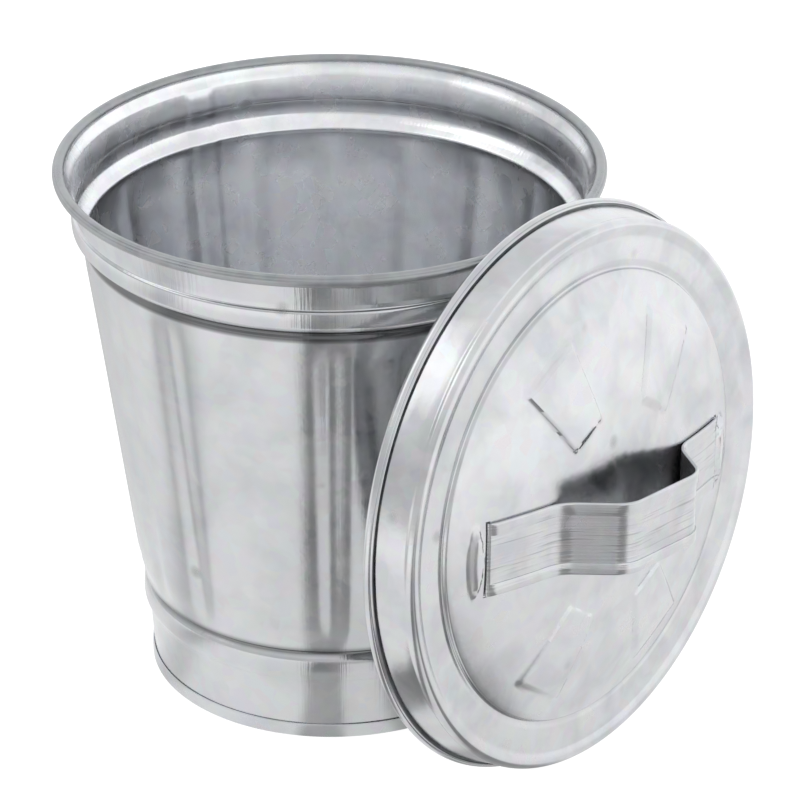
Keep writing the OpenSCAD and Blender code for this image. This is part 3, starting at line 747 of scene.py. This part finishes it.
def lid_top():
    bead_top = SKIRT_DEPTH + EDGE_BEAD_WIDTH * 0.2
    outside = [(r, dome_z(r)) for r in np.linspace(0.6, DOME_R, 60)] + [
        (DOME_R + 0.7, SKIRT_DEPTH - 1.0),
        (DOME_R + 2.4, SKIRT_DEPTH - 0.9),
        (DOME_R + 5.0, SKIRT_DEPTH),
        (SKIRT_TOP_R - EDGE_BEAD_WIDTH, SKIRT_DEPTH - 0.2),
        (SKIRT_TOP_R - EDGE_BEAD_WIDTH + 1.5, SKIRT_DEPTH + 0.5),
        (SKIRT_TOP_R - EDGE_BEAD_WIDTH * 0.55, bead_top - 0.3),
        (SKIRT_TOP_R - EDGE_BEAD_WIDTH * 0.36, bead_top),
        (SKIRT_TOP_R - 1.5, bead_top - 0.5),
        (SKIRT_TOP_R - 0.25, SKIRT_DEPTH - 0.6),
        (SKIRT_TOP_R + 0.1, SKIRT_DEPTH - 2.4),
        (SKIRT_TOP_R - 0.5, SKIRT_DEPTH - 4.4),
        (SKIRT_TOP_R + 0.1, SKIRT_DEPTH - 6.4),
        (SKIRT_LOW_R - 0.1, HEM_CURL_R + 1.2),
    ]
    line = blurred(outside, 0.6)
    outer = np.r_[thinned(line[line[:, 0] < DOME_R - 4], 1.7, 30),
                  thinned(line[line[:, 0] >= DOME_R - 4], 4.0, 8)]
    centre = (HEM_RING_R, 0.0)
    hidden = arc(centre, HEM_CURL_R - SHEET, 100, 430, 10)
    roll = creased_arc(centre, HEM_CURL_R, 432, 128, 42, 360 + 52)
    normal = np.gradient(line, axis=0)
    normal = np.c_[-normal[:, 1], normal[:, 0]] / np.hypot(*normal.T)[:, None]
    inside = line - normal * SHEET * np.sign(normal[:1, 1])
    inside = inside[(inside[:, 1] > HEM_CURL_R + 0.6)]
    inner = thinned(inside[::-1], 5.5, 14)
    profile = np.r_[outer, hidden, roll, inner]
    theta = np.linspace(0, 2 * pi, LID_STEPS, endpoint=False)
    r = np.repeat(profile[:, :1], LID_STEPS, 1)
    z = np.repeat(profile[:, 1:], LID_STEPS, 1)
    turn = theta - radians(HANDLE_TURN)
    x, y = r * np.cos(turn) - SEAT_SHIFT, r * np.sin(turn) + SEAT_DROP
    on_face = np.zeros(len(profile))
    on_face[:len(outer)] = profile[:len(outer), 0] < DOME_R
    on_face[-len(inner):] = profile[-len(inner):, 0] < DOME_R
    z = z + on_face[:, None] * pressed_rise(x, y)
    sheet_rows = np.zeros(len(profile))
    sheet_rows[:len(outer)] = 1
    sheet_rows[-len(inner):] = 1
    swell = smooth_step((SKIRT_TOP_R - 6 - r) / 20) * sheet_rows[:, None]
    z = z + swell * (ripples(theta[None, :], r * 1.0, 12, 0.3) * np.clip(r / 60, 0, 1)
                     + 0.18 * np.sin(x / 17 + 1.3) * np.sin(y / 21 - 0.4))
    verts, faces = lathe(r, z, LID_STEPS, False)
    top = mesh_object("lid_top", verts, faces, lid_zinc)
    cut_slots(top)
    top.data.transform(lid_place)
    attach(top, "lid")
    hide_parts("lid_pan")


def cut_slots(top):
    """Cuts the two slots that the strap's ends pass through."""
    work = bmesh.new()
    for side in (-1, 1):
        place = (seat_place
                 @ Matrix.Translation((side * SLOT_R * MM, 0, (dome_z(SLOT_R) - 1) * MM))
                 @ Matrix.Diagonal(((STRAP_SHEET + 1.8) * MM, (STRAP_WIDTH + 2) * MM, 12 * MM, 1)))
        bmesh.ops.create_cube(work, size=1, matrix=place)
    bmesh.ops.recalc_face_normals(work, faces=work.faces)
    mesh = bpy.data.meshes.new("slot_cutter")
    work.to_mesh(mesh)
    work.free()
    cutter = bpy.data.objects.new("slot_cutter", mesh)
    scene.collection.objects.link(cutter)
    cut = top.modifiers.new("slots", "BOOLEAN")
    cut.operation = "DIFFERENCE"
    cut.solver = "EXACT"
    cut.object = cutter
    shape = evaluated(top)
    top.modifiers.remove(cut)
    top.data = shape
    mark_sharp(shape, 40)
    bpy.data.objects.remove(cutter)


# ---------------------------------------------------------------- the handle strap


def bend_points(a, b, c, radius, count=9):
    """Points of a round bend at b between the lines from a and to c."""
    a, b, c = (np.array(p, float) for p in (a, b, c))
    to_a = (a - b) / np.linalg.norm(a - b)
    to_c = (c - b) / np.linalg.norm(c - b)
    half = acos(float(to_a @ to_c)) / 2
    mid_dir = (to_a + to_c) / np.linalg.norm(to_a + to_c)
    middle = b + mid_dir * radius / sin(half)
    start = b + to_a * radius / tan(half) - middle
    end = b + to_c * radius / tan(half) - middle
    turn = 1 if start[0] * end[1] - start[1] * end[0] > 0 else -1
    sweep = turn * (pi - 2 * half)
    return [middle + [start[0] * cos(t) - start[1] * sin(t), start[0] * sin(t) + start[1] * cos(t)]
            for t in np.linspace(0, sweep, count)]


def half_strap(side):
    """Middle line of one half of the strap; its foot follows the dome on its own side."""
    def seat_z(x):
        return dome_z(side * x + SEAT_SHIFT)

    lift = STRAP_SHEET / 2 + SLACK
    grip_z = DOME_TOP_Z + FINGER_GAP + STRAP_SHEET / 2
    leg = LEG_SPREAD / 2
    heel = (leg, seat_z(leg) + lift)
    corner = (GRIP_LENGTH / 2, grip_z)
    toe = (SLOT_R, seat_z(SLOT_R) + lift)
    low = (SLOT_R, seat_z(SLOT_R) - SHEET - STRAP_SHEET / 2 - 2.2)
    tab = (SLOT_R + TAB_LENGTH, seat_z(SLOT_R + TAB_LENGTH) - SHEET - STRAP_SHEET / 2 - 2.8)
    half = [np.array((x, grip_z)) for x in np.linspace(0, GRIP_LENGTH / 2 - 12, 6)]
    half += bend_points((0, grip_z), corner, heel, CORNER_BEND, 14)
    half += bend_points(corner, heel, (leg + 14, seat_z(leg + 14) + lift), HEEL_BEND, 14)
    half += [np.array((x, seat_z(x) + lift)) for x in np.linspace(leg + 14, SLOT_R - 3, 12)]
    half += bend_points(heel, toe, low, 1.6, 6)
    half += bend_points(toe, low, tab, 1.6, 6)
    half += [np.array(tab)]
    return np.array(half)


def strap():
    right, left = half_strap(1), half_strap(-1)
    path = np.r_[left[:0:-1] * [-1, 1], right]
    along = np.gradient(path, axis=0)
    along /= np.hypot(*along.T)[:, None]
    normal = np.c_[-along[:, 1], along[:, 0]]
    travelled = np.r_[0, np.cumsum(np.hypot(*np.diff(path, axis=0).T))]

    # outline across the strip: flat underside, folded hems along both edges on the outside
    w, t, hem = STRAP_WIDTH / 2, STRAP_SHEET / 2, STRAP_HEM_WIDTH
    fold = STRAP_SHEET * 0.75
    edge = (t + fold + t) / 2
    section = [(-w + edge, -t), (0, -t), (w - edge, -t)]
    section += list(map(tuple, arc((w - edge, fold / 2), edge, -80, 80, 8)))
    section += [(w - edge, t + fold), (w - hem + 0.5, t + fold), (w - hem, t + fold - 0.25),
                (w - hem - 0.05, t + 0.05), (w - hem - 0.5, t)]
    section += [(x, t) for x in np.linspace(w - hem - 2, -w + hem + 2, 12)]
    section += [(-w + hem + 0.5, t), (-w + hem + 0.05, t + 0.05), (-w + hem, t + fold - 0.25),
                (-w + hem - 0.5, t + fold), (-w + edge, t + fold)]
    section += list(map(tuple, arc((-w + edge, fold / 2), edge, 100, 260, 8)))
    section = np.array(section)

    count = len(section)
    verts, faces, uvs = [], [], []
    for p, n, s in zip(path, normal, travelled):
        # the fold is left off where the strap passes through the lid
        flat = abs(p[0]) > SLOT_R - 3
        for y, d in section:
            q = p + n * (min(d, t) if flat else d)
            verts.append((q[0], y, q[1]))
            uvs.append((s * MM, y * MM))
    rows = len(path)
    for i in range(rows - 1):
        for j in range(count):
            k = (j + 1) % count
            faces.append((i * count + j, (i + 1) * count + j, (i + 1) * count + k, i * count + k))
    faces.append(tuple(range(count)))
    faces.append(tuple((rows - 1) * count + j for j in range(count - 1, -1, -1)))
    mesh = bpy.data.meshes.new("lid_strap")
    mesh.from_pydata([tuple(v) for v in np.array(verts) * MM], [], faces)
    layer = mesh.uv_layers.new(name="strip")
    loops = np.zeros(len(mesh.loops), int)
    mesh.loops.foreach_get("vertex_index", loops)
    layer.data.foreach_set("uv", np.array(uvs)[loops].ravel())
    work = bmesh.new()
    work.from_mesh(mesh)
    bmesh.ops.recalc_face_normals(work, faces=work.faces)
    work.to_mesh(mesh)
    work.free()
    mesh.polygons.foreach_set("use_smooth", [True] * len(mesh.polygons))
    mesh.materials.append(strap_zinc)
    mark_sharp(mesh, 50)
    obj = bpy.data.objects.new("lid_strap", mesh)
    scene.collection.objects.link(obj)
    mesh.transform(handle_place)
    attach(obj, "lid")
    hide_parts("handle_strap")


can_wall()
foot_and_floor()
lid_top()
strap()

for node_name in ("rim_wire", "lid_wire"):
    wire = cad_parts[node_name]
    wire.data.materials.clear()
    wire.data.materials.append(wire_steel)

# ---------------------------------------------------------------- floor and surroundings

STUDIO_BRIGHT = 1.25
STUDIO_DIM = 0.75
STUDIO_TOP = 1.0
DIM_SIDE = (-0.3, -0.954, 0.0)

# painted board, plain and pale to the camera. It is not plain in what the metal mirrors of it:
# there it carries painted shade round the can: (turn round the can in degrees, tone)
FLOOR_SHADE = [(-180, "#DCDCDC"), (-150, "#EEEEEE"), (-138, "#F2F2F2"), (-124, "#CACACA"),
               (-118, "#CACACA"), (-108, "#F6F6F6"), (-63, "#F6F6F6"), (-59, "#888888"),
               (-48, "#888888"), (-45.5, "#EAEAEA"), (-33, "#EAEAEA"), (-28, "#8E8E8E"),
               (-12, "#909090"), (-5, "#F0F0F0"), (100, "#F6F6F6"), (135, "#C6C6C6"),
               (160, "#C6C6C6"), (180, "#DCDCDC")]
floor_material, floor_tree = new_material("pale_studio_floor")
floor_place = add(floor_tree, "ShaderNodeTexCoord").outputs["Object"]
floor_axes = add(floor_tree, "ShaderNodeSeparateXYZ", {}, {"Vector": floor_place})
floor_turn = add(floor_tree, "ShaderNodeMath", {"operation": "ARCTAN2"},
                 {0: floor_axes.outputs["Y"], 1: floor_axes.outputs["X"]}).outputs["Value"]
share = add(floor_tree, "ShaderNodeMapRange", {"From Min": -pi, "From Max": pi},
            {"Value": floor_turn}).outputs["Result"]
shade = floor_tree.nodes.new("ShaderNodeValToRGB")
floor_tree.links.new(share, shade.inputs["Fac"])
stops = shade.color_ramp.elements
while len(stops) < len(FLOOR_SHADE):
    stops.new(0.5)
for stop, (turn, tone) in zip(stops, FLOOR_SHADE):
    stop.position = (turn + 180) / 360
    stop.color = linear(tone)
floor_flat = add(floor_tree, "ShaderNodeVectorMath", {"operation": "LENGTH"},
                 {0: floor_place}).outputs["Value"]
# painted light: near the can's foot the mirrored floor is lightened, against the shadow the can
# casts there
near = add(floor_tree, "ShaderNodeMapRange",
           {"interpolation_type": "SMOOTHSTEP", "From Min": 0.14, "From Max": 0.26,
            "To Min": 0.35, "To Max": 0.0}, {"Value": floor_flat}).outputs["Result"]
shade_near = add(floor_tree, "ShaderNodeMix", {"data_type": "RGBA", 7: linear("#FFFFFF")},
                 {0: near, 6: shade.outputs["Color"]}).outputs[2]
# painted shade: a dark grey patch further out, seen only in reflections, which the handle's grip
# mirrors
dark_patch_off = add(floor_tree, "ShaderNodeMath", {"operation": "ABSOLUTE"},
               {0: add(floor_tree, "ShaderNodeMath", {"operation": "ADD", 1: radians(42)},
                       {0: floor_turn}).outputs["Value"]}).outputs["Value"]
dark_patch_far = add(floor_tree, "ShaderNodeMapRange",
               {"interpolation_type": "SMOOTHSTEP", "From Min": 0.4, "From Max": 0.48,
                "To Max": 0.6}, {"Value": floor_flat}).outputs["Result"]
dark_patch = add(floor_tree, "ShaderNodeMapRange",
           {"interpolation_type": "SMOOTHSTEP", "From Min": radians(16), "From Max": radians(6)},
           {"Value": dark_patch_off, "To Max": dark_patch_far}).outputs["Result"]
shade_dark_patch = add(floor_tree, "ShaderNodeMix", {"data_type": "RGBA", 7: linear("#808080")},
                 {0: dark_patch, 6: shade_near}).outputs[2]
# the camera itself sees one plain tone
seen = add(floor_tree, "ShaderNodeLightPath").outputs["Is Camera Ray"]
floor_tone = add(floor_tree, "ShaderNodeMix", {"data_type": "RGBA", 7: linear("#FAFAFA")},
                 {0: seen, 6: shade_dark_patch}).outputs[2]
floor_paint = add(floor_tree, "ShaderNodeBsdfPrincipled", {"Roughness": 0.9},
                  {"Base Color": floor_tone})
# painted light: the board glows, and far from the can it glows more strongly
far = add(floor_tree, "ShaderNodeMapRange",
          {"interpolation_type": "SMOOTHSTEP", "From Min": 0.65, "From Max": 1.1,
           "To Min": 1.3, "To Max": 1.7}, {"Value": floor_flat}).outputs["Result"]
floor_glow = add(floor_tree, "ShaderNodeEmission", {}, {"Color": floor_tone, "Strength": far})
glow_share = add(floor_tree, "ShaderNodeMapRange", {"To Min": 0.65, "To Max": 0.75},
                 {"Value": seen}).outputs["Result"]
floor_shader = add(floor_tree, "ShaderNodeMixShader", {},
                   {0: glow_share, 1: floor_paint.outputs["BSDF"],
                    2: floor_glow.outputs["Emission"]})
add(floor_tree, "ShaderNodeOutputMaterial", {}, {"Surface": floor_shader.outputs["Shader"]})
floor_mesh = bpy.data.meshes.new("studio_floor")
FLOOR_HALF = 9.0
floor_mesh.from_pydata([(-FLOOR_HALF, -FLOOR_HALF, 0), (FLOOR_HALF, -FLOOR_HALF, 0),
                        (FLOOR_HALF, FLOOR_HALF, 0), (-FLOOR_HALF, FLOOR_HALF, 0)],
                       [], [(0, 1, 2, 3)])
floor_mesh.materials.append(floor_material)
floor = bpy.data.objects.new("studio_floor", floor_mesh)
scene.collection.objects.link(floor)

# white studio walls under a softer ceiling, dimmer on the side the object is looked at from
world = bpy.data.worlds.new("studio")
world.use_nodes = True
studio = world.node_tree
studio.nodes.clear()
towards = add(studio, "ShaderNodeTexCoord").outputs["Generated"]
front = add(studio, "ShaderNodeVectorMath", {"operation": "DOT_PRODUCT", 1: DIM_SIDE},
            {0: towards}).outputs["Value"]
height = add(studio, "ShaderNodeSeparateXYZ", {}, {"Vector": towards}).outputs["Z"]
high = add(studio, "ShaderNodeMapRange",
           {"interpolation_type": "SMOOTHSTEP", "From Min": 0.45, "From Max": 0.75},
           {"Value": height}).outputs["Result"]
side = add(studio, "ShaderNodeMapRange",
           {"interpolation_type": "SMOOTHSTEP", "From Min": 0.1, "From Max": 0.45},
           {"Value": front}).outputs["Result"]
walls = add(studio, "ShaderNodeMapRange", {"To Min": STUDIO_BRIGHT, "To Max": STUDIO_DIM},
            {"Value": side}).outputs["Result"]
round_about = add(studio, "ShaderNodeMapRange", {"To Max": STUDIO_TOP},
                  {"Value": high, "To Min": walls}).outputs["Result"]
sky = add(studio, "ShaderNodeBackground", {"Color": linear("#FDFEFF")}, {"Strength": round_about})
add(studio, "ShaderNodeOutputWorld", {}, {"Surface": sky.outputs["Background"]})
scene.world = world
